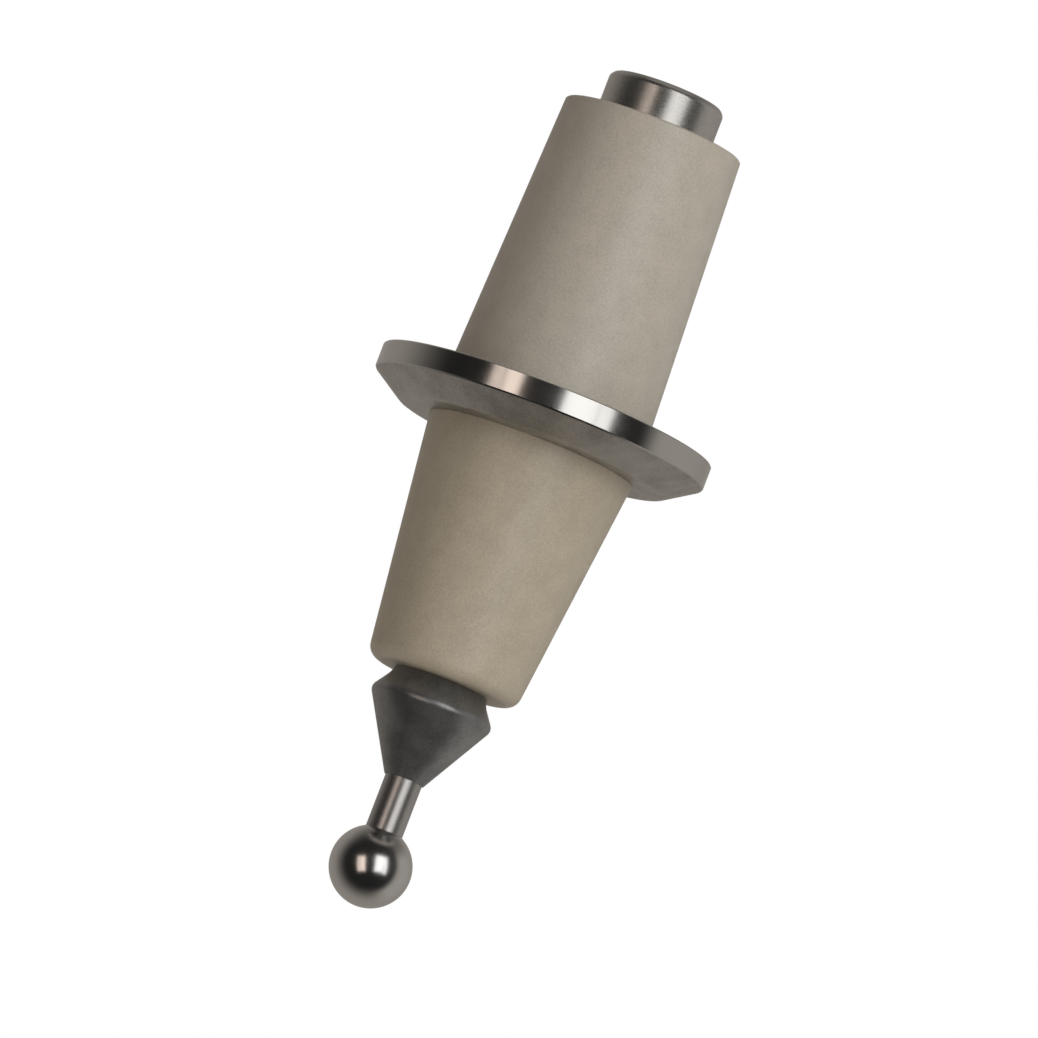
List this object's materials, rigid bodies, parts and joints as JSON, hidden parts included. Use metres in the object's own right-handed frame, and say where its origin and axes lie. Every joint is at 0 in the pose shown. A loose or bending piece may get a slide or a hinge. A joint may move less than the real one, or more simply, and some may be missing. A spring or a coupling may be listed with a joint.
{
  "type": "indicator stylus",
  "caption": "Contact stylus for an indicator: ball on a thin pin, dark cone, tapered insulating sleeves with a flange disc between them, and a collar with a tapped hole.",
  "frame": {"origin": "centre of the mouth of the tapped hole, in the plane of the collar's free face", "axes": "+Z along the axis of the stylus, out of the tapped hole; the tip points to -Z; X and Y are free, because the stylus is turned"},
  "size_m": [0.0166, 0.0166, 0.0419],
  "materials": {
    "polished_steel": "polished",
    "sleeve_ceramic": "matt",
    "flange_steel": "mirror-polished rim, finely turned underside",
    "dark_metal": "satin, dark",
    "pin_steel": "ground",
    "ball_steel": "mirror"
  },
  "bodies": {
    "root": {"core": "polished_steel", "upper_sleeve": "sleeve_ceramic", "flange": "flange_steel", "lower_sleeve": "sleeve_ceramic", "tip_cone": "dark_metal", "tip_pin": "pin_steel", "tip_ball": "ball_steel"}
  },
  "joints": []
}
